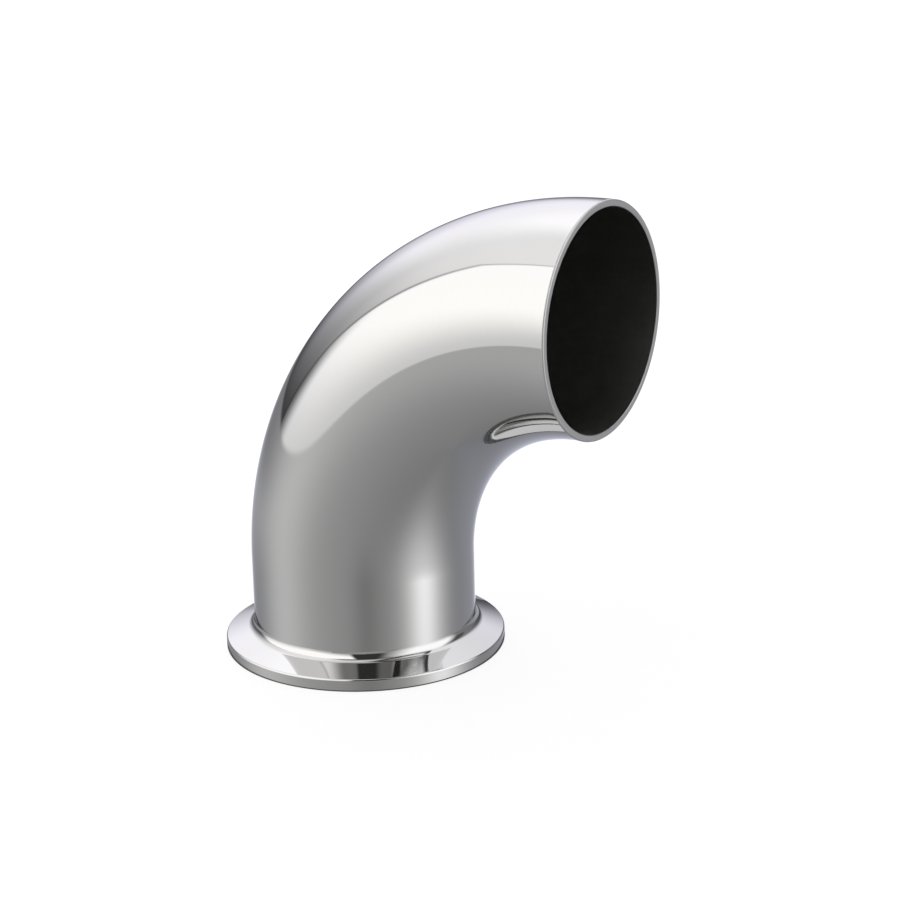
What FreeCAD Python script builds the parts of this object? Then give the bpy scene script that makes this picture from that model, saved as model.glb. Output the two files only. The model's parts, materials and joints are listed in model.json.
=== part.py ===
"""Polished stainless sanitary elbow: a clamp ferrule at the foot, a quarter bend and a plain weld end.

Millimetres. The origin is the centre of the ferrule's sealing face, +Z runs up the ferrule and
+X is the way the weld end points. The real elbow is welded up, ground flush and polished, so it
is one piece of metal and one solid here.
"""
import FreeCAD
import Part

import math
import os
from collections import namedtuple

# Tube, the size that every other fit follows
tube_outside_diameter = 50.8
tube_wall = 1.5

# Clamp ferrule
ferrule_diameter = 64.0
ferrule_length = 21.5  # sealing face to the start of the bend
rim_height = 2.85  # height of the rim at its outside edge
clamp_face_angle = 20.0  # slope of the face that the clamp pulls on, in degrees
root_fillet = 2.4  # where the clamp face runs into the tube
rim_top_chamfer = 0.35
rim_foot_chamfer = 0.25

# Gasket groove in the sealing face
groove_diameter = 56.5  # across the middle of the groove
groove_width = 3.2  # at the sealing face
groove_bottom_width = 1.6
groove_depth = 1.5

# Bend and weld end
bend_radius = 61.2  # to the centreline
bend_angle = 90.0
weld_end_length = 1.5  # straight tube left after the bend
weld_end_chamfer = 0.25  # on the outside, where polishing takes the edge off

# Worked out from the sizes above
tube_outside_radius = tube_outside_diameter / 2
bore_radius = tube_outside_radius - tube_wall
ferrule_radius = ferrule_diameter / 2
groove_radius = groove_diameter / 2
clamp_face_rise = (ferrule_radius - tube_outside_radius) * math.tan(math.radians(clamp_face_angle))

UP = FreeCAD.Vector(0, 0, 1)
ACROSS = FreeCAD.Vector(0, 1, 0)
SEALING_FACE_CENTRE = FreeCAD.Vector(0, 0, 0)
BEND_START = FreeCAD.Vector(0, 0, ferrule_length)
BEND_CENTRE = FreeCAD.Vector(bend_radius, 0, ferrule_length)
FULL_TURN = 360.0

# A corner of a turned section, with the fillet or the chamfer that takes it off
Corner = namedtuple("Corner", "radius height fillet chamfer", defaults=(0, 0))


def corner_edge(before, point, after, corner):
    """The edge that takes a corner off: an arc tangent to both sides, or a straight chamfer."""
    to_before = (before - point).normalize()
    to_after = (after - point).normalize()
    if corner.chamfer:
        start = point + to_before * corner.chamfer
        return Part.LineSegment(start, point + to_after * corner.chamfer).toShape()
    half_angle = to_before.getAngle(to_after) / 2
    reach = corner.fillet / math.tan(half_angle)
    to_centre = (to_before + to_after).normalize()
    middle = point + to_centre * (corner.fillet / math.sin(half_angle) - corner.fillet)
    return Part.Arc(point + to_before * reach, middle, point + to_after * reach).toShape()


def turned(corners):
    """A solid turned about +Z from the corners of its half section, listed once round."""
    points = [FreeCAD.Vector(corner.radius, 0, corner.height) for corner in corners]
    stops = []
    for index, (corner, point) in enumerate(zip(corners, points)):
        if corner.fillet or corner.chamfer:
            edge = corner_edge(points[index - 1], point, points[(index + 1) % len(points)], corner)
            stops.append((edge.firstVertex().Point, edge, edge.lastVertex().Point))
        else:
            stops.append((point, None, point))
    edges = []
    for (_, edge, end), (next_start, _, _) in zip(stops, stops[1:] + stops[:1]):
        if edge:
            edges.append(edge)
        edges.append(Part.LineSegment(end, next_start).toShape())
    return Part.Face(Part.Wire(edges)).revolve(SEALING_FACE_CENTRE, UP, FULL_TURN)


def make_ferrule():
    """The turned ferrule: sealing face, rim, sloping clamp face, root fillet and neck."""
    return turned(
        [
            Corner(bore_radius, 0),
            Corner(ferrule_radius, 0, chamfer=rim_foot_chamfer),
            Corner(ferrule_radius, rim_height, chamfer=rim_top_chamfer),
            Corner(tube_outside_radius, rim_height + clamp_face_rise, fillet=root_fillet),
            Corner(tube_outside_radius, ferrule_length),
            Corner(bore_radius, ferrule_length),
        ]
    )


def make_gasket_groove():
    """The ring of metal that the gasket's bead takes the place of."""
    return turned(
        [
            Corner(groove_radius - groove_width / 2, 0),
            Corner(groove_radius + groove_width / 2, 0),
            Corner(groove_radius + groove_bottom_width / 2, groove_depth),
            Corner(groove_radius - groove_bottom_width / 2, groove_depth),
        ]
    )


def make_bend():
    """The quarter bend: the tube's ring section swung about the bend's centre."""
    outside = Part.Wire(Part.makeCircle(tube_outside_radius, BEND_START, UP))
    bore = Part.Wire(Part.makeCircle(bore_radius, BEND_START, UP))
    return Part.Face([outside, bore]).revolve(BEND_CENTRE, ACROSS, bend_angle)


def make_weld_end():
    """The short straight tube past the bend, square cut and with its outside edge broken."""
    collar = turned(
        [
            Corner(bore_radius, 0),
            Corner(tube_outside_radius, 0),
            Corner(tube_outside_radius, weld_end_length, chamfer=weld_end_chamfer),
            Corner(bore_radius, weld_end_length),
        ]
    )
    collar.translate(BEND_START)
    return collar.rotated(BEND_CENTRE, ACROSS, bend_angle)


def make_elbow():
    """The whole elbow as one solid."""
    ferrule = make_ferrule().cut(make_gasket_groove())
    elbow = ferrule.fuse([make_bend(), make_weld_end()]).removeSplitter()
    return elbow.Solids[0] if len(elbow.Solids) == 1 else elbow


def main():
    """Build the elbow and write its STEP file."""
    os.makedirs("parts", exist_ok=True)
    elbow = make_elbow()
    box = elbow.optimalBoundingBox()
    centre = elbow.CenterOfMass
    print(f"elbow: {len(elbow.Solids)} solid, valid {elbow.isValid()}, {elbow.Volume:.0f} mm3")
    print(f"size {box.XLength:.2f} x {box.YLength:.2f} x {box.ZLength:.2f} mm")
    print(f"centre of mass {centre.x:.2f}, {centre.y:.2f}, {centre.z:.2f}")
    elbow.exportStep("parts/elbow.step")


main()
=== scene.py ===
"""Looks of a polished stainless sanitary elbow: its steel skin and finishes, and the studio round it.

Metres, in the part's own frame: the origin is the centre of the ferrule's sealing face, +Z runs up
the ferrule and +X is the way the weld end points. The skin follows one outline, given as a radius
from the tube's centreline and a travel along it, swept once round and once through the bend.
"""

import json
import logging
import math
from dataclasses import dataclass
from enum import Enum

import bpy
import numpy as np
from mathutils import Matrix, Vector


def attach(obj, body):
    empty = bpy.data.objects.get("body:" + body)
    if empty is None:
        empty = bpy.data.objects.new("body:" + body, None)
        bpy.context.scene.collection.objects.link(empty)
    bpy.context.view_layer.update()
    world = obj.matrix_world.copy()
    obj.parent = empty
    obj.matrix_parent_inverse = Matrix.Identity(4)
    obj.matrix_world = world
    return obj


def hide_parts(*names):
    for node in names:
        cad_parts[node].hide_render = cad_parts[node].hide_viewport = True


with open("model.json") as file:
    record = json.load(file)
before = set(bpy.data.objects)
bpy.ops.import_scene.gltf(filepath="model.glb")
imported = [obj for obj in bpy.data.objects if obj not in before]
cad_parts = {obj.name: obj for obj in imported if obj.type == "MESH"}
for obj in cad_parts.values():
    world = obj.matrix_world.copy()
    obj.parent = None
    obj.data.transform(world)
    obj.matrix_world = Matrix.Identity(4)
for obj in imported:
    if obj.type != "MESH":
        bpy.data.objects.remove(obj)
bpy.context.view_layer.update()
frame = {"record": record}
UV_MAP = "around_and_along"

MM = 0.001
MICRON = 1e-6
FULL_TURN = 2 * math.pi
QUARTER_TURN = math.pi / 2
WHITE = (1.0, 1.0, 1.0, 1.0)
TENT_WHITE = 1.34

# A Mix node repeats its sockets' names, so its colour sockets are found by their places.
MIX_COLOUR_INPUTS = (6, 7)
MIX_COLOUR_OUTPUT = 2

# A colour's red, green and blue, and the low and high end of a soft or straight step.
Colour = tuple[float, float, float]
Span = tuple[float, float]

log = logging.getLogger("elbow")


class Region(Enum):
    """The differently finished stretches of the elbow, in the order of the skin's material slots."""

    TUBE = 0
    RIM = 1
    CUT_END = 2
    SEALING_FACE = 3
    BORE = 4
    BROKEN_EDGE = 5


class Step(Enum):
    """How a step between two values runs."""

    STRAIGHT = "LINEAR"
    SOFT = "SMOOTHSTEP"


@dataclass(frozen=True)
class Signal:
    """A number that runs through a node tree, with the arithmetic that a shader's formula needs."""

    tree: bpy.types.NodeTree
    source: bpy.types.NodeSocket

    def feed(self, socket: bpy.types.NodeSocket) -> None:
        """Link this number to an input socket."""
        self.tree.links.new(self.source, socket)

    def combined(self, operation: str, *others: "Signal | float") -> "Signal":
        """Run one operation of the Math node on this number.

        Args:
            operation: The Math node's operation.
            *others: Its second and third inputs, signals or plain numbers.

        Returns:
            The result as a new signal.
        """
        node = self.tree.nodes.new("ShaderNodeMath")
        node.operation = operation
        self.feed(node.inputs[0])
        for socket, other in zip(node.inputs[1:], others):
            put(other, socket)
        return Signal(self.tree, node.outputs[0])

    def __add__(self, other: "Signal | float") -> "Signal":
        """This number plus another."""
        return self.combined("ADD", other)

    def __mul__(self, other: "Signal | float") -> "Signal":
        """This number times another."""
        return self.combined("MULTIPLY", other)

    def __neg__(self) -> "Signal":
        """This number with its sign changed."""
        return self * -1.0

    def __sub__(self, other: "Signal | float") -> "Signal":
        """This number less another."""
        return self.combined("SUBTRACT", other)

    def __rsub__(self, other: float) -> "Signal":
        """Another number less this one."""
        return -self + other

    def __truediv__(self, other: "Signal | float") -> "Signal":
        """This number divided by another."""
        return self.combined("DIVIDE", other)

    def at_least(self, floor: float) -> "Signal":
        """This number, or the floor where it is lower."""
        return self.combined("MAXIMUM", floor)

    def above(self, level: "Signal | float") -> "Signal":
        """1 where this number is above the level, else 0."""
        return self.combined("GREATER_THAN", level)

    def turned_from(self, azimuth: "Signal | float") -> "Signal":
        """How far this azimuth is turned from another, in degrees from -180 to 180."""
        return (self - azimuth).combined("WRAP", 180.0, -180.0)

    def stepped(self, low: float, high: float, step: Step) -> "Signal":
        """A step from 0 to 1.

        Args:
            low: Where the step starts, at 0.
            high: Where it ends, at 1.
            step: How it runs between them.

        Returns:
            The step's height here.
        """
        node = self.tree.nodes.new("ShaderNodeMapRange")
        node.interpolation_type = step.value
        self.feed(node.inputs["Value"])
        node.inputs["From Min"].default_value = low
        node.inputs["From Max"].default_value = high
        return Signal(self.tree, node.outputs["Result"])

    def ramp(self, low: float, high: float) -> "Signal":
        """A straight step from 0 at low to 1 at high."""
        return self.stepped(low, high, Step.STRAIGHT)

    def rise(self, low: float, high: float) -> "Signal":
        """A soft step from 0 at low to 1 at high."""
        return self.stepped(low, high, Step.SOFT)

    def fall(self, low: float, high: float) -> "Signal":
        """A soft step from 1 at low to 0 at high."""
        return 1 - self.rise(low, high)

    def bell(self, width: float) -> "Signal":
        """A bell about 0 that has fallen to a third at the given width."""
        part = self / width
        return (-(part * part)).combined("EXPONENT")

    def dimmed(self, where: "Signal", loss: float) -> "Signal":
        """This brightness less a share of it, the whole loss where the other signal is 1."""
        return self * (1 - where * loss)


def put(value: Signal | float, socket: bpy.types.NodeSocket) -> None:
    """Give an input socket its number.

    Args:
        value: A signal or a plain number.
        socket: The input socket.
    """
    if isinstance(value, Signal):
        value.feed(socket)
    else:
        socket.default_value = value


def between(first: Signal | float, second: Signal | float, share: Signal) -> Signal:
    """The number that lies the given share of the way from the first to the second."""
    return share * (second - first) + first


def new_node(tree: bpy.types.NodeTree, kind: str, **inputs: object) -> bpy.types.Node:
    """Add a node and set its input sockets.

    Args:
        tree: The tree that gets the node.
        kind: The node's type, without its leading "ShaderNode".
        **inputs: Values by socket name, with underscores for spaces.

    Returns:
        The new node.
    """
    node = tree.nodes.new("ShaderNode" + kind)
    for name, value in inputs.items():
        node.inputs[name.replace("_", " ")].default_value = value
    return node


def mixed_colour(
    tree: bpy.types.NodeTree,
    share: Signal,
    first: Colour | bpy.types.NodeSocket,
    second: Colour | bpy.types.NodeSocket,
) -> bpy.types.NodeSocket:
    """Mix two colours.

    Args:
        tree: The tree that gets the node.
        share: How much of the second there is, from 0 to 1.
        first: A plain colour, or the socket that gives one.
        second: Likewise for the second colour.

    Returns:
        The socket that gives the mixed colour.
    """
    node = new_node(tree, "Mix")
    node.data_type = "RGBA"
    share.feed(node.inputs["Factor"])
    for colour, place in zip((first, second), MIX_COLOUR_INPUTS):
        if isinstance(colour, tuple):
            node.inputs[place].default_value = (*colour, 1.0)
        else:
            tree.links.new(colour, node.inputs[place])
    return node.outputs[MIX_COLOUR_OUTPUT]


def mixed_shader(
    tree: bpy.types.NodeTree,
    share: Signal,
    first: bpy.types.Node,
    second: bpy.types.Node,
) -> bpy.types.Node:
    """Mix two shaders.

    Args:
        tree: The tree that gets the node.
        share: How much of the second there is, from 0 to 1.
        first: The node that gives the first shader.
        second: The node that gives the second.

    Returns:
        The node that gives the mixed shader.
    """
    node = new_node(tree, "MixShader")
    share.feed(node.inputs[0])
    tree.links.new(first.outputs[0], node.inputs[1])
    tree.links.new(second.outputs[0], node.inputs[2])
    return node


def finish_tree(tree: bpy.types.NodeTree, shader: bpy.types.Node, output: str = "OutputMaterial") -> None:
    """Make a node's shader the output of its whole tree."""
    tree.links.new(shader.outputs[0], new_node(tree, output).inputs["Surface"])


def empty_material(name: str) -> bpy.types.Material:
    """Add a material whose node tree is still empty.

    Args:
        name: The material's name.

    Returns:
        The new material.
    """
    material = bpy.data.materials.new(name)
    material.use_nodes = True
    material.node_tree.nodes.clear()
    return material


@dataclass(frozen=True)
class Corner:
    """A corner of the outline before it is rounded off, with the finish of the run that follows it.

    An edge finish, where there is one, dresses the rounding itself.
    """

    radius: float
    travel: float
    round_off: float
    region: Region
    edge: Region | None = None


@dataclass(frozen=True)
class Centreline:
    """The line down the tube's middle: up the ferrule, round the quarter bend, out at the weld end."""

    ferrule_length: float
    bend_radius: float
    weld_end_length: float
    steps_round_bend: int = 90
    closest_rings: float = 0.01 * MM

    @property
    def bend_end(self) -> float:
        """Travel from the sealing face to the end of the bend."""
        return self.ferrule_length + self.bend_radius * QUARTER_TURN

    @property
    def length(self) -> float:
        """Travel from the sealing face to the weld end's face."""
        return self.bend_end + self.weld_end_length

    def stops(self, start: float, end: float) -> list[float]:
        """The travels at which a straight run of the outline needs a ring, so that it can bend.

        Args:
            start: Travel at the run's start.
            end: Travel at its end, which may be lower.

        Returns:
            The travels strictly between them, in the run's own order.
        """
        rings = np.linspace(self.ferrule_length, self.bend_end, self.steps_round_bend + 1)
        low = min(start, end) + self.closest_rings
        high = max(start, end) - self.closest_rings
        inside = [float(ring) for ring in rings if low < ring < high]
        return inside if start < end else inside[::-1]

    def frames(self, travel: np.ndarray) -> tuple[np.ndarray, np.ndarray, np.ndarray]:
        """Where the line is, and how it lies, at each travel.

        Args:
            travel: Travels along the line.

        Returns:
            The points, the directions away from the bend's centre, and the directions along the line.
        """
        swing = np.clip((travel - self.ferrule_length) / self.bend_radius, 0, QUARTER_TURN)
        sine, cosine, none = np.sin(swing), np.cos(swing), np.zeros_like(swing)
        past_bend = np.maximum(travel - self.bend_end, 0)
        up_ferrule = np.minimum(travel, self.ferrule_length)
        x = self.bend_radius * (1 - cosine) + past_bend
        points = np.stack([x, none, up_ferrule + self.bend_radius * sine], axis=1)
        outward = np.stack([-cosine, none, sine], axis=1)
        along = np.stack([sine, none, cosine], axis=1)
        return points, outward, along


@dataclass(frozen=True)
class Ferrule:
    """The clamp ferrule: sealing face with its gasket groove, rim, sloping clamp face and root fillet."""

    rim_radius: float
    bore_radius: float
    tube_radius: float
    rim_height: float = 2.85 * MM
    clamp_face_angle: float = math.radians(20)
    root_fillet: float = 2.4 * MM
    rim_top_round: float = 0.5 * MM
    rim_foot_round: float = 0.45 * MM
    bore_edge_round: float = 0.15 * MM
    groove_radius: float = 28.25 * MM
    groove_width: float = 3.2 * MM
    groove_bottom_width: float = 1.6 * MM
    groove_depth: float = 1.5 * MM
    groove_edge_round: float = 0.15 * MM
    groove_bottom_round: float = 0.5 * MM

    @property
    def clamp_face_top(self) -> float:
        """Height at which the clamp face's slope would meet the tube."""
        return self.rim_height + (self.rim_radius - self.tube_radius) * math.tan(self.clamp_face_angle)

    def corners(self) -> list[Corner]:
        """The ferrule's corners, from its bore's foot out to the rim and up to the tube.

        Returns:
            Eight corners, of which the second to the fifth are the gasket groove's.
        """
        groove_edge, groove_bottom = self.groove_width / 2, self.groove_bottom_width / 2
        face, rim, tube = Region.SEALING_FACE, Region.RIM, Region.TUBE
        return [
            Corner(self.bore_radius, 0, self.bore_edge_round, face),
            Corner(self.groove_radius - groove_edge, 0, self.groove_edge_round, face),
            Corner(self.groove_radius - groove_bottom, self.groove_depth, self.groove_bottom_round, face),
            Corner(self.groove_radius + groove_bottom, self.groove_depth, self.groove_bottom_round, face),
            Corner(self.groove_radius + groove_edge, 0, self.groove_edge_round, face),
            Corner(self.rim_radius, 0, self.rim_foot_round, rim),
            Corner(self.rim_radius, self.rim_height, self.rim_top_round, tube),
            Corner(self.tube_radius, self.clamp_face_top, self.root_fillet, tube),
        ]


@dataclass(frozen=True)
class WeldEnd:
    """The plain square-cut end of the tube, with its edges just broken by polishing."""

    bore_radius: float
    tube_radius: float
    outside_round: float = 0.40 * MM
    inside_round: float = 0.15 * MM

    def corners(self, travel: float) -> list[Corner]:
        """The two corners of the end.

        Args:
            travel: Travel from the sealing face to the end's own face.

        Returns:
            The outside corner, then the inside one.
        """
        return [
            Corner(self.tube_radius, travel, self.outside_round, Region.CUT_END, Region.BROKEN_EDGE),
            Corner(self.bore_radius, travel, self.inside_round, Region.BORE),
        ]


@dataclass(frozen=True)
class Station:
    """One ring of the skin: where it is on the outline, and which way the surface faces there."""

    radius: float
    travel: float
    facing: tuple[float, float]
    region: Region


@dataclass(frozen=True)
class Outline:
    """The closed outline of the tube's wall, its corners listed once round with the metal on the left."""

    corners: list[Corner]
    centreline: Centreline
    steps_in_round: int = 8

    def rounded(self, index: int) -> list[Station]:
        """The stations on the arc that rounds off one corner.

        Args:
            index: The corner's place in the list.

        Returns:
            Stations from the run before the corner to the run after it.
        """
        before, corner, after = (self.corners[(index + step) % len(self.corners)] for step in (-1, 0, 1))
        point = Vector((corner.radius, corner.travel))
        way_in = (point - Vector((before.radius, before.travel))).normalized()
        way_out = (Vector((after.radius, after.travel)) - point).normalized()
        turn = math.atan2(way_in.x * way_out.y - way_in.y * way_out.x, way_in.dot(way_out))
        side = math.copysign(1, turn)
        to_centre = (way_out - way_in).normalized()
        centre = point + to_centre * corner.round_off / math.cos(turn / 2)
        facing_in = math.atan2(-way_in.x, way_in.y)
        stations = []
        for step in range(self.steps_in_round + 1):
            share = step / self.steps_in_round
            angle = facing_in + share * turn
            facing = (math.cos(angle), math.sin(angle))
            place = centre + side * corner.round_off * Vector(facing)
            region = corner.edge or (before.region if share < 0.5 else corner.region)
            stations.append(Station(place.x, place.y, facing, region))
        return stations

    def stations(self) -> list[Station]:
        """Find every ring that the skin needs.

        Returns:
            The rings, once round the outline.
        """
        arcs = [self.rounded(index) for index in range(len(self.corners))]
        stations = []
        for arc, next_arc in zip(arcs, arcs[1:] + arcs[:1]):
            stations += arc
            last, first = arc[-1], next_arc[0]
            for travel in self.centreline.stops(last.travel, first.travel):
                stations.append(Station(last.radius, travel, last.facing, last.region))
        return stations


@dataclass(frozen=True)
class Steel:
    """One finish of the stainless steel.

    The lines are marks of polishing or turning: how many there are once round the tube and once along
    the outline, how deep they are, and by what share they change the colour. Waviness is the height of
    the slow ripple that polishing leaves. A brushed finish smears what it mirrors across its lines.
    """

    name: str
    colour: Colour
    roughness: float
    roughness_spread: float
    lines_round: float
    lines_along: float
    line_depth: float
    line_tone: float
    waviness: float = 0.0
    brushed: float = 0.0
    brushing_turn: float = 0.25
    edge_tint: Colour = (0.86, 0.86, 0.86)
    line_contrast: Span = (0.25, 0.75)
    ripples_per_metre: float = 55.0

    def material(self) -> bpy.types.Material:
        """Make the finish as a node material.

        Returns:
            Bare metal whose tone, gloss and fine relief vary over the surface.
        """
        material = empty_material(self.name)
        tree = material.node_tree
        metal = new_node(
            tree,
            "BsdfPrincipled",
            Metallic=1.0,
            Specular_Tint=(*self.edge_tint, 1.0),
            Anisotropic=self.brushed,
            Anisotropic_Rotation=self.brushing_turn,
        )
        finish_tree(tree, metal)
        grain = new_node(tree, "Tangent")
        grain.direction_type = "UV_MAP"
        grain.uv_map = UV_MAP
        tree.links.new(grain.outputs[0], metal.inputs["Tangent"])

        places = new_node(tree, "TexCoord")
        stretch = new_node(tree, "Mapping", Scale=(self.lines_round, self.lines_along, 1.0))
        tree.links.new(places.outputs["UV"], stretch.inputs["Vector"])
        lines = new_node(tree, "TexNoise", Scale=1.0, Detail=3.0, Roughness=0.6)
        tree.links.new(stretch.outputs[0], lines.inputs["Vector"])
        ripples = new_node(tree, "TexNoise", Scale=self.ripples_per_metre, Detail=1.0, Roughness=0.4)
        tree.links.new(places.outputs["Object"], ripples.inputs["Vector"])

        line_height = Signal(tree, lines.outputs[0])
        ripple_height = Signal(tree, ripples.outputs[0])
        put(line_height * self.roughness_spread + self.roughness, metal.inputs["Roughness"])
        darker = tuple(channel * (1 - self.line_tone) for channel in self.colour)
        lighter = tuple(channel * (1 + self.line_tone) for channel in self.colour)
        tone = mixed_colour(tree, line_height.ramp(*self.line_contrast), darker, lighter)
        tree.links.new(tone, metal.inputs["Base Color"])

        ripple = new_node(tree, "Bump", Strength=1.0, Distance=self.waviness)
        ripple_height.feed(ripple.inputs["Height"])
        relief = new_node(tree, "Bump", Strength=1.0, Distance=self.line_depth)
        line_height.feed(relief.inputs["Height"])
        tree.links.new(ripple.outputs[0], relief.inputs["Normal"])
        tree.links.new(relief.outputs[0], metal.inputs["Normal"])
        return material


POLISHED = (0.72, 0.72, 0.715)
TURNED = (0.70, 0.70, 0.69)
DRAWN = (0.55, 0.55, 0.53)
FINISHES = {
    Region.TUBE: Steel(
        name="mirror_polished_tube",
        colour=POLISHED,
        roughness=0.03,
        roughness_spread=0.02,
        lines_round=40,
        lines_along=400,
        line_depth=0.05 * MICRON,
        line_tone=0.006,
        waviness=2 * MICRON,
    ),
    Region.RIM: Steel(
        name="polished_rim",
        colour=POLISHED,
        roughness=0.07,
        roughness_spread=0.05,
        lines_round=4,
        lines_along=1100,
        line_depth=0.1 * MICRON,
        line_tone=0.05,
        waviness=2 * MICRON,
        brushed=0.5,
    ),
    Region.CUT_END: Steel(
        name="dressed_tube_end",
        colour=POLISHED,
        roughness=0.50,
        roughness_spread=0.06,
        lines_round=6,
        lines_along=900,
        line_depth=0.1 * MICRON,
        line_tone=0.04,
        brushed=0.95,
    ),
    Region.SEALING_FACE: Steel(
        name="turned_sealing_face",
        colour=TURNED,
        roughness=0.30,
        roughness_spread=0.10,
        lines_round=3,
        lines_along=1200,
        line_depth=0.3 * MICRON,
        line_tone=0.06,
        brushed=0.8,
    ),
    Region.BORE: Steel(
        name="drawn_bore",
        colour=DRAWN,
        roughness=0.25,
        roughness_spread=0.10,
        lines_round=300,
        lines_along=30,
        line_depth=0.3 * MICRON,
        line_tone=0.02,
        waviness=4 * MICRON,
    ),
    Region.BROKEN_EDGE: Steel(
        name="broken_edge",
        colour=POLISHED,
        roughness=0.40,
        roughness_spread=0.08,
        lines_round=6,
        lines_along=900,
        line_depth=0.1 * MICRON,
        line_tone=0.02,
    ),
}


@dataclass(frozen=True)
class Elbow:
    """The whole elbow: ferrule, bend and weld end as one piece of steel."""

    centreline: Centreline
    ferrule: Ferrule
    weld_end: WeldEnd
    columns: int = 288

    @classmethod
    def from_record(cls, record: dict) -> "Elbow":
        """Take the driving sizes from the part's own mounts.

        Args:
            record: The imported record.

        Returns:
            The elbow at the part's size.
        """
        mounts = {mount["name"]: mount for mount in record["mounts"]}
        ferrule_bore, weld_bore = mounts["ferrule_bore"], mounts["weld_end_bore"]
        bore_radius = ferrule_bore["dims"]["r_mm"] * MM
        tube_radius = mounts["weld_end_outside"]["dims"]["r_mm"] * MM
        rim_radius = mounts["clamp_rim"]["dims"]["r_mm"] * MM
        ferrule_length = ferrule_bore["dims"]["length_mm"] * MM
        centreline = Centreline(
            ferrule_length=ferrule_length,
            bend_radius=weld_bore["pos_m"][2] - ferrule_length,
            weld_end_length=weld_bore["dims"]["length_mm"] * MM,
        )
        ferrule = Ferrule(rim_radius, bore_radius, tube_radius)
        return cls(centreline, ferrule, WeldEnd(bore_radius, tube_radius))

    def build(self) -> bpy.types.Object:
        """Make the skin, dress it and set it on the part.

        Returns:
            The skin's object.
        """
        corners = self.ferrule.corners() + self.weld_end.corners(self.centreline.length)
        mesh = self.skin(Outline(corners, self.centreline).stations())
        piece = bpy.data.objects.new("elbow_skin", mesh)
        bpy.context.scene.collection.objects.link(piece)
        for region in Region:
            mesh.materials.append(FINISHES[region].material())
        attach(piece, "root")
        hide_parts("elbow")
        return piece

    def skin(self, stations: list[Station]) -> bpy.types.Mesh:
        """Sweep the outline once round the centreline.

        Args:
            stations: The rings, once round the outline.

        Returns:
            A closed mesh with exact normals, a finish number on each face and a UV map that
            runs round the tube in U and along the outline in V.
        """
        radius = np.array([station.radius for station in stations])[:, None, None]
        travel = np.array([station.travel for station in stations])
        facing = np.array([station.facing for station in stations])
        points, outward, along = self.centreline.frames(travel)
        turn = np.arange(self.columns) * FULL_TURN / self.columns
        across = np.array([0.0, 1.0, 0.0])
        spokes = np.cos(turn)[None, :, None] * outward[:, None, :] + np.sin(turn)[None, :, None] * across
        places = points[:, None, :] + radius * spokes
        normals = facing[:, 0, None, None] * spokes + facing[:, 1, None, None] * along[:, None, :]

        rings = len(stations)
        ring, column = np.meshgrid(np.arange(rings), np.arange(self.columns), indexing="ij")
        next_ring, next_column = (ring + 1) % rings, (column + 1) % self.columns
        quads = np.stack(
            [
                ring * self.columns + column,
                next_ring * self.columns + column,
                next_ring * self.columns + next_column,
                ring * self.columns + next_column,
            ],
            axis=-1,
        ).reshape(-1, 4)

        mesh = bpy.data.meshes.new("elbow_skin")
        mesh.from_pydata(places.reshape(-1, 3).tolist(), [], quads.tolist())
        mesh.polygons.foreach_set("use_smooth", np.ones(len(quads), dtype=bool))
        regions = np.array([station.region.value for station in stations])
        mesh.polygons.foreach_set("material_index", np.repeat(regions, self.columns))

        place_on_outline = np.stack([radius[:, 0, 0], travel], axis=1)
        steps = np.linalg.norm(np.roll(place_on_outline, -1, axis=0) - place_on_outline, axis=1)
        v = np.concatenate([[0.0], np.cumsum(steps)]) / steps.sum()
        u = np.arange(self.columns + 1) / self.columns
        u_corners = np.stack([u[column], u[column], u[column + 1], u[column + 1]], axis=-1)
        v_corners = np.stack([v[ring], v[ring + 1], v[ring + 1], v[ring]], axis=-1)
        layer = mesh.uv_layers.new(name=UV_MAP)
        layer.data.foreach_set("uv", np.stack([u_corners, v_corners], axis=-1).ravel())
        mesh.normals_split_custom_set_from_vertices(normals.reshape(-1, 3).tolist())
        return mesh


@dataclass(frozen=True)
class Bell:
    """A soft rise and fall about one azimuth, a third of its height at the width from there."""

    azimuth: float
    width: float

    def at(self, azimuth: Signal) -> Signal:
        """Its height at an azimuth, 1 in the middle."""
        return azimuth.turned_from(self.azimuth).bell(self.width)


@dataclass(frozen=True)
class LeftWall:
    """The tent's left wall, which darkens towards the front and low beside the corner.

    Front and far front are degrees from the corner towards the front, and the other spans are
    elevations.
    """

    white: float = TENT_WHITE
    foot_tone: float = 0.78
    foot: Span = (-14, 18)
    front: Span = (62, 100)
    front_foot_tone: float = 0.60
    front_foot: Span = (10, 46)
    far_front: Span = (84, 118)
    far_front_loss: float = 0.32
    shade_width: float = 17.0
    shade_taper: float = 0.5
    shade_top: Span = (2, 22)
    shade_loss: float = 0.84
    roof: Span = (52, 76)
    roof_loss: float = 0.5

    def brightness(self, past_corner: Signal, elevation: Signal) -> Signal:
        """How bright the wall is.

        Args:
            past_corner: Degrees from the corner towards the front.
            elevation: Degrees above the horizon.

        Returns:
            Its brightness there.
        """
        wall = between(self.foot_tone, self.white, elevation.rise(*self.foot))
        front = between(self.front_foot_tone, 1.0, elevation.rise(*self.front_foot))
        wall = wall * between(1.0, front, past_corner.rise(*self.front))
        wall = wall.dimmed(past_corner.rise(*self.far_front), self.far_front_loss)
        width = (elevation.at_least(0.0) * -self.shade_taper + self.shade_width).at_least(1.0)
        shade = (past_corner / width).fall(0, 1) * elevation.fall(*self.shade_top)
        return wall.dimmed(shade, self.shade_loss).dimmed(elevation.rise(*self.roof), self.roof_loss)


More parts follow.
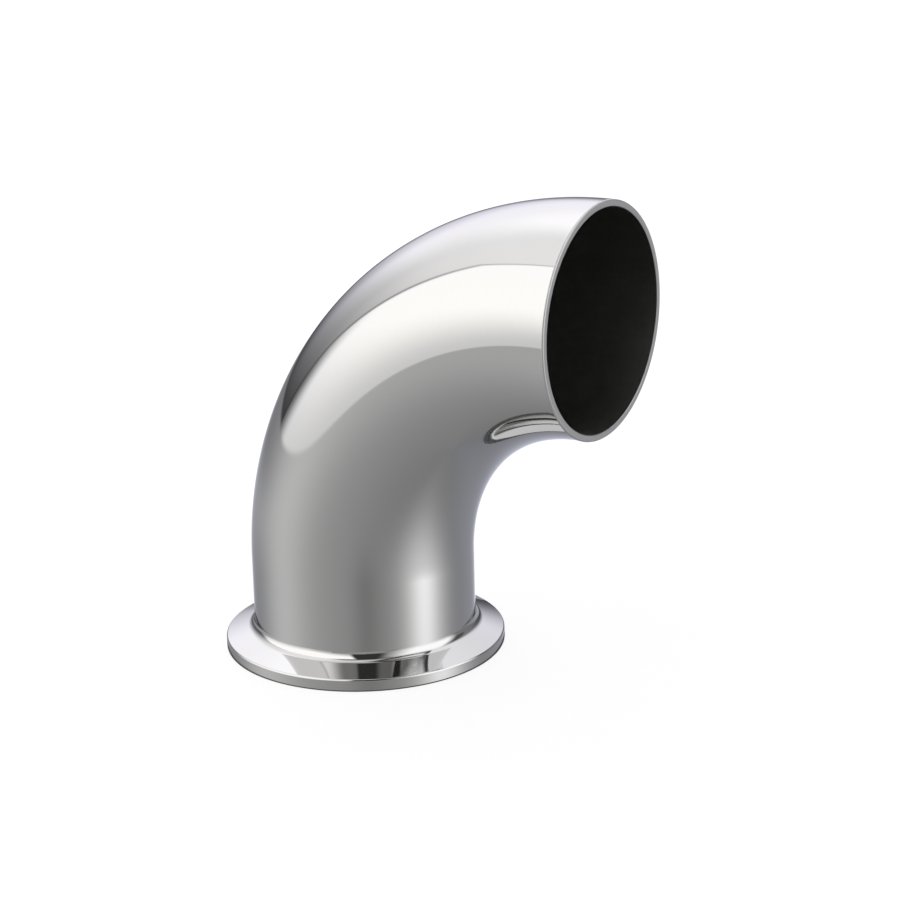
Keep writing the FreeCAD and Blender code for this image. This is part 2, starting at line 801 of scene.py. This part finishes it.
@dataclass(frozen=True)
class BackWall:
    """The tent's back wall: shaded at its foot, and behind the grey sheet at its right.

    The shade is a band that starts at the corner and grows to the right, its foot sinking and its top
    coming down, until the sheet's own sloping top takes over. Spans are azimuths, but heights, feet
    and tops are elevations.
    """

    corner_tone: float = 0.98
    lit_tone: float = 1.28
    brightening: Span = (-88, -52)
    right_share: float = 0.74
    to_right: Span = (-30, -8)
    shade_tone: float = 0.055
    shade_growth: Span = (-84, -46)
    shade_foot: float = -6.0
    shade_foot_drop: float = 4.0
    last_growth: Span = (-46, -36)
    last_drop: float = 3.0
    shade_top: float = 37.0
    shade_top_drop: float = 28.0
    shade_top_bend: float = 1.3
    to_sheet: Span = (-42, -24)
    sheet_run: Span = (-24, 40)
    sheet_top: float = -1.0
    sheet_climb: float = 30.0
    sheet_softness: float = 21.0
    sheet_left_tone: float = 0.10
    sheet_right_tone: float = 0.23
    sheet_tones: Span = (-8, 20)
    shade_to_sheet: Span = (-50, -20)
    sheet_edge: Span = (27, 33)
    sheet_edge_height: Span = (2, 10)
    sheet_edge_loss: float = 0.55
    dim_start: Span = (-66, -50)
    dim_end: Span = (-30, -16)
    dim_height: Span = (5, 24)
    dim_loss: float = 0.26
    top_height: Span = (32, 50)
    top_gain: float = 0.07

    def band(self, azimuth: Signal) -> tuple[Signal, Signal]:
        """Where the shade ends and the lit wall starts.

        Args:
            azimuth: Degrees from +Y towards +X.

        Returns:
            The elevations at which the wall starts to brighten and is fully lit.
        """
        growth = azimuth.ramp(*self.shade_growth)
        last = azimuth.ramp(*self.last_growth)
        foot = growth * growth * -self.shade_foot_drop + last * -self.last_drop + self.shade_foot
        top = growth.combined("POWER", self.shade_top_bend) * -self.shade_top_drop + self.shade_top
        sheet = azimuth.ramp(*self.sheet_run) * self.sheet_climb + self.sheet_top
        share = azimuth.rise(*self.to_sheet)
        return between(foot, sheet, share), between(top, sheet + self.sheet_softness, share)

    def lit(self, azimuth: Signal, elevation: Signal) -> Signal:
        """How bright the lit wall is.

        Args:
            azimuth: Degrees from +Y towards +X.
            elevation: Degrees above the horizon.

        Returns:
            Its brightness above the shade and the sheet.
        """
        wall = between(self.corner_tone, self.lit_tone, azimuth.rise(*self.brightening))
        wall = wall * between(1.0, self.right_share, azimuth.rise(*self.to_right))
        beside_sheet = azimuth.rise(*self.dim_start) * azimuth.fall(*self.dim_end)
        wall = wall.dimmed(beside_sheet * elevation.fall(*self.dim_height), self.dim_loss)
        return wall * (elevation.rise(*self.top_height) * self.top_gain + 1)

    def dark(self, azimuth: Signal, elevation: Signal) -> Signal:
        """How bright the shade and the sheet are.

        Args:
            azimuth: Degrees from +Y towards +X.
            elevation: Degrees above the horizon.

        Returns:
            Their brightness below the lit wall.
        """
        sheet = between(self.sheet_left_tone, self.sheet_right_tone, azimuth.rise(*self.sheet_tones))
        dark = between(self.shade_tone, sheet, azimuth.rise(*self.shade_to_sheet))
        edge = azimuth.rise(*self.sheet_edge) * elevation.rise(*self.sheet_edge_height)
        return dark.dimmed(edge, self.sheet_edge_loss)

    def brightness(self, azimuth: Signal, elevation: Signal) -> Signal:
        """How bright the wall is.

        Args:
            azimuth: Degrees from +Y towards +X.
            elevation: Degrees above the horizon.

        Returns:
            Its brightness there.
        """
        low, high = self.band(azimuth)
        share = ((elevation - low) / (high - low)).rise(0, 1)
        return between(self.dark(azimuth, elevation), self.lit(azimuth, elevation), share)


@dataclass(frozen=True)
class RightWall:
    """The tent's right wall, which fades out towards the open front."""

    white: float = TENT_WHITE
    foot: Span = (-24, 10)
    foot_tone: float = 0.40
    foot_glow: Bell = Bell(azimuth=84, width=20)
    foot_glow_tone: float = 0.32
    roof: Span = (36, 58)
    roof_loss: float = 0.40
    to_front: Span = (92, 130)
    front_loss: float = 0.80

    def brightness(self, azimuth: Signal, elevation: Signal) -> Signal:
        """How bright the wall is.

        Args:
            azimuth: Degrees from +Y towards +X.
            elevation: Degrees above the horizon.

        Returns:
            Its brightness there.
        """
        foot = self.foot_glow.at(azimuth) * self.foot_glow_tone + self.foot_tone
        wall = between(foot, 1.0, elevation.rise(*self.foot)) * self.white
        wall = wall.dimmed(elevation.rise(*self.roof), self.roof_loss)
        return wall.dimmed(azimuth.rise(*self.to_front), self.front_loss)


@dataclass(frozen=True)
class OpenFront:
    """The tent's front: the roof's front edge, the dark opening under it and the floor before it.

    The roof edge's start, end and tones are degrees turned from the front's middle. The other starts
    and ends are azimuths, and the height, foot and tops are elevations.
    """

    middle: float = 147.0
    roof_edge_start: Span = (-51, -38)
    roof_edge_end: Span = (34, 64)
    roof_edge_height: Span = (56, 60)
    roof_edge_left_tone: float = 0.19
    roof_edge_right_tone: float = 0.28
    roof_edge_tones: Span = (5, 25)
    opening_start: Span = (122, 134)
    opening_end: Span = (158, 164)
    opening_foot: Span = (0, 12)
    opening_top: Span = (62, 70)
    opening_tone: float = 0.04
    floor_start: Span = (110, 135)
    floor_end: Span = (168, 220)
    floor_top: Span = (-2, 8)
    floor_tone: float = 0.34

    def over(self, wall: Signal, azimuth: Signal, elevation: Signal) -> Signal:
        """Lay the front over the walls.

        Args:
            wall: The brightness of the walls.
            azimuth: Degrees from +Y towards +X.
            elevation: Degrees above the horizon.

        Returns:
            The brightness with the front in it.
        """
        forward = azimuth.turned_from(self.middle)
        edge = forward.rise(*self.roof_edge_start) * forward.fall(*self.roof_edge_end)
        edge_tone = between(
            self.roof_edge_left_tone, self.roof_edge_right_tone, forward.rise(*self.roof_edge_tones)
        )
        wall = between(wall, edge_tone, edge * elevation.rise(*self.roof_edge_height))
        opening = azimuth.rise(*self.opening_start) * azimuth.fall(*self.opening_end)
        opening = opening * elevation.rise(*self.opening_foot) * elevation.fall(*self.opening_top)
        wall = between(wall, self.opening_tone, opening)
        floor = azimuth.rise(*self.floor_start) * azimuth.fall(*self.floor_end)
        return between(wall, self.floor_tone, floor * elevation.fall(*self.floor_top))


@dataclass(frozen=True)
class Glow:
    """A soft pool of light low on the table, as the steel mirrors it."""

    spread: Bell
    brightness: float
    reach: float


@dataclass(frozen=True)
class GreyTable:
    """The tent's grey table, with its pools of light and the line at which it ends.

    Depths are degrees below the horizon. The table ends at the horizon under the walls' corner, lower
    to each side of it, at the sheet's own foot behind the sheet, and lower again in front.
    """

    tone: float = 0.25
    pool_depth: float = 18.0
    glows: tuple[Glow, ...] = (
        Glow(Bell(82, 15), brightness=0.39, reach=6),
        Glow(Bell(81, 27), brightness=0.56, reach=33),
        Glow(Bell(-121, 31), brightness=0.26, reach=26),
        Glow(Bell(-154, 60), brightness=0.12, reach=49),
        Glow(Bell(-3, 30), brightness=0.11, reach=45),
        Glow(Bell(145, 13), brightness=-0.07, reach=12),
    )
    far_glows: tuple[Glow, ...] = (
        Glow(Bell(-32, 18), brightness=0.50, reach=23),
        Glow(Bell(-30, 9), brightness=0.70, reach=7),
        Glow(Bell(-58, 26), brightness=0.10, reach=4),
    )
    far_glow_depth: Span = (9, 16)
    sheet_glow: Bell = Bell(azimuth=-18, width=15)
    sheet_glow_depth: Span = (10, 24)
    sheet_glow_tone: float = 0.14
    corner_glow: Bell = Bell(azimuth=-75, width=38)
    corner_glow_depth: float = 14.0
    corner_glow_reach: float = 4.0
    corner_glow_tone: float = 0.08
    horizon: float = -3.9
    left_start: float = -80.0
    left_slope: float = 0.07
    left_curve: float = 0.0012
    right_start: float = -75.0
    right_curve: float = 0.0053
    sheet_start: float = -33.0
    sheet_horizon: float = -1.0
    sheet_end: Span = (5, 30)
    front_right: float = 120.0
    front_left: float = -158.0
    front_horizon: float = -15.0
    lowest_horizon: float = -18.0

    def pool(self, glow: Glow, azimuth: Signal, depth: Signal) -> Signal:
        """What one pool of light adds to the table, in full far from the elbow and less nearer to it."""
        nearer = (depth - self.pool_depth).at_least(0.0)
        return glow.spread.at(azimuth) * nearer.bell(glow.reach) * glow.brightness

    def brightness(self, azimuth: Signal, elevation: Signal) -> Signal:
        """How bright the table is.

        Args:
            azimuth: Degrees from +Y towards +X.
            elevation: Degrees above the horizon.

        Returns:
            Its brightness there.
        """
        depth = -elevation
        sheet_glow = self.sheet_glow.at(azimuth) * depth.fall(*self.sheet_glow_depth)
        corner_reach = (depth - self.corner_glow_depth).bell(self.corner_glow_reach)
        corner_glow = self.corner_glow.at(azimuth) * corner_reach
        tone = sheet_glow * self.sheet_glow_tone + self.tone
        tone = tone + corner_glow * self.corner_glow_tone
        for glow in self.glows:
            tone = tone + self.pool(glow, azimuth, depth)
        far = depth.rise(*self.far_glow_depth)
        for glow in self.far_glows:
            tone = tone + self.pool(glow, azimuth, depth) * far
        return tone

    def edge(self, azimuth: Signal) -> Signal:
        """Where the table ends and the walls start.

        Args:
            azimuth: Degrees from +Y towards +X.

        Returns:
            The elevation of the table's edge.
        """
        left = (-azimuth.turned_from(self.left_start)).at_least(0.0)
        right = azimuth.turned_from(self.right_start).at_least(0.0)
        sag = left * -self.left_slope - left * left * self.left_curve - right * right * self.right_curve
        behind_sheet = between(self.sheet_horizon, self.lowest_horizon, azimuth.rise(*self.sheet_end))
        edge = between(sag + self.horizon, behind_sheet, azimuth.above(self.sheet_start))
        left_of_front = 1 - azimuth.above(self.front_left)
        in_front = azimuth.above(self.front_right).combined("MAXIMUM", left_of_front)
        return between(edge, self.front_horizon, in_front).at_least(self.lowest_horizon)


@dataclass(frozen=True)
class Tint:
    """How the tent's light leans from warm to cool, with each tint a little different below the horizon.

    It is cool towards the back, and warm in the opening and on the left wall's front.
    """

    warm_below: Colour = (1.070, 1.040, 0.900)
    warm_above: Colour = (1.073, 1.073, 0.857)
    cool_below: Colour = (0.935, 0.958, 1.105)
    cool_above: Colour = (0.940, 0.914, 1.138)
    horizon: Span = (-15, 12)
    back: Bell = Bell(azimuth=-22, width=58)
    back_foot: float = 0.60
    back_top: float = 0.15
    back_height: Span = (0, 45)
    table_cool: float = 0.4
    table_elevation: float = -35.0
    table_reach: float = 22.0
    opening: Bell = Bell(azimuth=147, width=22)
    opening_foot: Span = (-12, 10)
    opening_warm: float = 0.30
    wall: Bell = Bell(azimuth=-135, width=50)
    wall_elevation: float = 14.0
    wall_reach: float = 28.0
    wall_warm: float = 0.16
    all_warm: float = 0.01

    def coolness(self, azimuth: Signal, elevation: Signal) -> Signal:
        """How cool the light is in a direction.

        Args:
            azimuth: Degrees from +Y towards +X.
            elevation: Degrees above the horizon.

        Returns:
            A number from -1 for warm to 1 for cool.
        """
        cool = between(self.back_foot, self.back_top, elevation.rise(*self.back_height))
        cool = cool + (elevation - self.table_elevation).bell(self.table_reach) * self.table_cool
        opening = self.opening.at(azimuth) * elevation.rise(*self.opening_foot)
        wall = self.wall.at(azimuth) * (elevation - self.wall_elevation).bell(self.wall_reach)
        cool = self.back.at(azimuth) * cool - opening * self.opening_warm
        return cool - wall * self.wall_warm - self.all_warm

    def colour(self, azimuth: Signal, elevation: Signal) -> bpy.types.NodeSocket:
        """Colour the light.

        Args:
            azimuth: Degrees from +Y towards +X.
            elevation: Degrees above the horizon.

        Returns:
            The socket that gives the light's colour.
        """
        tree = azimuth.tree
        above = elevation.rise(*self.horizon)
        warm = mixed_colour(tree, above, self.warm_below, self.warm_above)
        cool = mixed_colour(tree, above, self.cool_below, self.cool_above)
        return mixed_colour(tree, self.coolness(azimuth, elevation) * 0.5 + 0.5, warm, cool)


@dataclass(frozen=True)
class LightTent:
    """A white light tent with a grey table and a grey sheet at its back right, open at the front.

    Directions are in degrees: azimuth 0 is +Y and 90 is +X, and elevation is above the horizon.
    Brightness is that of a plain lit surface, where 1 is white. The corner between the left wall and
    the back leans over, more so in the roof, and has a dark seam.
    """

    left_wall: LeftWall = LeftWall()
    back_wall: BackWall = BackWall()
    right_wall: RightWall = RightWall()
    front: OpenFront = OpenFront()
    table: GreyTable = GreyTable()
    tint: Tint = Tint()
    corner_foot: float = -85.0
    corner_foot_elevation: float = -4.0
    corner_lean: float = 0.67
    roof_start: float = 41.0
    roof_lean: float = 1.33
    right_corner: Span = (41, 58)
    left_wall_end: float = 146.0
    seam_width: float = 1.3
    seam_loss: float = 0.42
    seam_middle_loss: float = 0.22
    seam_middle: float = 25.0
    seam_reach: float = 14.0
    roof_middle: Span = (64, 82)
    roof_tone: float = 0.85
    table_edge_softness: Span = (-0.6, 0.6)

    def corner_line(self, elevation: Signal) -> Signal:
        """Follow the line between the left wall and the back.

        Args:
            elevation: Degrees above the horizon.

        Returns:
            The azimuth of the line at that elevation.
        """
        height = elevation.at_least(self.corner_foot_elevation)
        over_roof = (height - self.roof_start).at_least(0.0)
        return height * -self.corner_lean + over_roof * -self.roof_lean + self.corner_foot

    def brightness(self, azimuth: Signal, elevation: Signal) -> Signal:
        """How bright the tent is in any direction.

        Args:
            azimuth: Degrees from +Y towards +X, from -180 to 180.
            elevation: Degrees above the horizon.

        Returns:
            The brightness that the steel mirrors there.
        """
        corner = self.corner_line(elevation)
        left = self.left_wall.brightness(-azimuth.turned_from(corner), elevation)
        wall = between(left, self.back_wall.brightness(azimuth, elevation), azimuth.above(corner))
        right = self.right_wall.brightness(azimuth, elevation)
        wall = between(wall, right, azimuth.rise(*self.right_corner))
        wall = between(wall, left, azimuth.above(self.left_wall_end))
        seam_middle = (elevation - self.seam_middle).bell(self.seam_reach)
        seam_loss = seam_middle * self.seam_middle_loss + self.seam_loss
        wall = wall * (1 - (azimuth - corner).bell(self.seam_width) * seam_loss)
        wall = self.front.over(wall, azimuth, elevation)
        wall = between(wall, self.roof_tone, elevation.rise(*self.roof_middle))
        over_edge = (elevation - self.table.edge(azimuth)).rise(*self.table_edge_softness)
        return between(self.table.brightness(azimuth, elevation), wall, over_edge)

    def build(self) -> None:
        """Make the tent the scene's world, white to the camera and lit as a tent to everything else."""
        world = bpy.data.worlds.new("light_tent")
        world.use_nodes = True
        bpy.context.scene.world = world
        tree = world.node_tree
        tree.nodes.clear()
        places = new_node(tree, "TexCoord")
        split = new_node(tree, "SeparateXYZ")
        tree.links.new(places.outputs["Generated"], split.inputs[0])
        x, y, z = (Signal(tree, socket) for socket in split.outputs)
        azimuth = x.combined("ARCTAN2", y).combined("DEGREES")
        elevation = z.combined("ARCSINE").combined("DEGREES")
        tent = new_node(tree, "Background")
        put(self.brightness(azimuth, elevation), tent.inputs["Strength"])
        tree.links.new(self.tint.colour(azimuth, elevation), tent.inputs["Color"])
        plain = new_node(tree, "Background", Color=WHITE, Strength=1.0)
        seen = Signal(tree, new_node(tree, "LightPath").outputs["Is Camera Ray"])
        finish_tree(tree, mixed_shader(tree, seen, tent, plain), "OutputWorld")


@dataclass(frozen=True)
class TableTop:
    """The plain white surface that the elbow stands on.

    The camera sees a share of it as even white, all of it away from the elbow, so that the shadow
    fades out. The steel mirrors only the part close under the rim, painted dark grey as its shade.
    """

    half_width: float = 3.0
    colour: Colour = (0.85, 0.85, 0.85)
    camera_share: float = 0.78
    camera_white: float = 1.09
    shadow_end: float = 85 * MM
    plain_start: float = 115 * MM
    # Painted shade: within this radius the steel mirrors the board in a dark grey instead of its white.
    painted_shade_radius: float = 32.9 * MM
    painted_shade_colour: Colour = (0.18, 0.18, 0.18)

    def build(self) -> bpy.types.Object:
        """Make the table top and its material.

        Returns:
            The stage object.
        """
        size = self.half_width
        mesh = bpy.data.meshes.new("table_top")
        corners = [(-size, -size, 0), (size, -size, 0), (size, size, 0), (-size, size, 0)]
        mesh.from_pydata(corners, [], [(0, 1, 2, 3)])
        mesh.materials.append(self.material())
        top = bpy.data.objects.new("table_top", mesh)
        bpy.context.scene.collection.objects.link(top)
        return top

    def material(self) -> bpy.types.Material:
        """White board that keeps a soft shadow, lets the steel mirror the tent's own table, and shows the
        steel painted shade, a dark grey, close under the rim.

        Returns:
            The board's material.
        """
        material = empty_material("white_board")
        tree = material.node_tree
        geometry = new_node(tree, "NewGeometry")
        length = new_node(tree, "VectorMath")
        length.operation = "LENGTH"
        tree.links.new(geometry.outputs["Position"], length.inputs[0])
        distance = Signal(tree, length.outputs["Value"])
        path = new_node(tree, "LightPath")
        camera, glossy, transmission = (
            Signal(tree, path.outputs[f"Is {ray} Ray"]) for ray in ("Camera", "Glossy", "Transmission")
        )

        board = new_node(tree, "BsdfDiffuse", Color=(*self.colour, 1.0))
        white = new_node(tree, "Emission", Color=WHITE, Strength=self.camera_white)
        share = between(self.camera_share, 1.0, distance.rise(self.shadow_end, self.plain_start))
        seen = mixed_shader(tree, camera * share, board, white)
        # Painted shade: to mirrored rays the board close under the rim is dark grey, which gives the
        # steel's foot a dark contact line.
        painted_shade_under_rim = new_node(tree, "BsdfDiffuse", Color=(*self.painted_shade_colour, 1.0))
        clear = new_node(tree, "BsdfTransparent")
        mirrored = mixed_shader(tree, distance.above(self.painted_shade_radius), painted_shade_under_rim, clear)
        finish_tree(tree, mixed_shader(tree, glossy + transmission, seen, mirrored))
        return material


@dataclass(frozen=True)
class ViewCamera:
    """The camera, set at the photograph's own angle, distance and focal length."""

    aim: tuple[float, float, float] = (0.02593, -0.00312, 0.05019)
    azimuth: float = math.radians(32.45)
    elevation: float = math.radians(17.28)
    roll: float = math.radians(-1.301)
    distance: float = 0.5287
    focal_length: float = 96.83
    sensor_width: float = 36.0

    def build(self) -> bpy.types.Object:
        """Make the camera and make it the scene's own.

        Returns:
            The camera object.
        """
        back = Vector(
            (
                math.sin(self.azimuth) * math.cos(self.elevation),
                -math.cos(self.azimuth) * math.cos(self.elevation),
                math.sin(self.elevation),
            )
        )
        level_right = Vector((math.cos(self.azimuth), math.sin(self.azimuth), 0))
        level_up = back.cross(level_right)
        right = math.cos(self.roll) * level_right + math.sin(self.roll) * level_up
        up = back.cross(right)
        data = bpy.data.cameras.new("view_camera")
        data.lens = self.focal_length
        data.sensor_width = self.sensor_width
        camera = bpy.data.objects.new("view_camera", data)
        turn = Matrix((right, up, back)).transposed().to_4x4()
        camera.matrix_world = Matrix.Translation(Vector(self.aim) + back * self.distance) @ turn
        bpy.context.scene.collection.objects.link(camera)
        bpy.context.scene.camera = camera
        return camera


def main() -> None:
    """Build the elbow and its studio, and report each piece."""
    logging.basicConfig(level=logging.INFO, format="%(message)s")
    elbow = Elbow.from_record(frame["record"]).build()
    log.info("%s: %d faces in %d finishes", elbow.name, len(elbow.data.polygons), len(Region))
    LightTent().build()
    log.info("light tent: made")
    log.info("%s: made", TableTop().build().name)
    log.info("%s: made", ViewCamera().build().name)
    bpy.context.scene.view_settings.view_transform = "Standard"


if __name__ == "__main__":
    main()
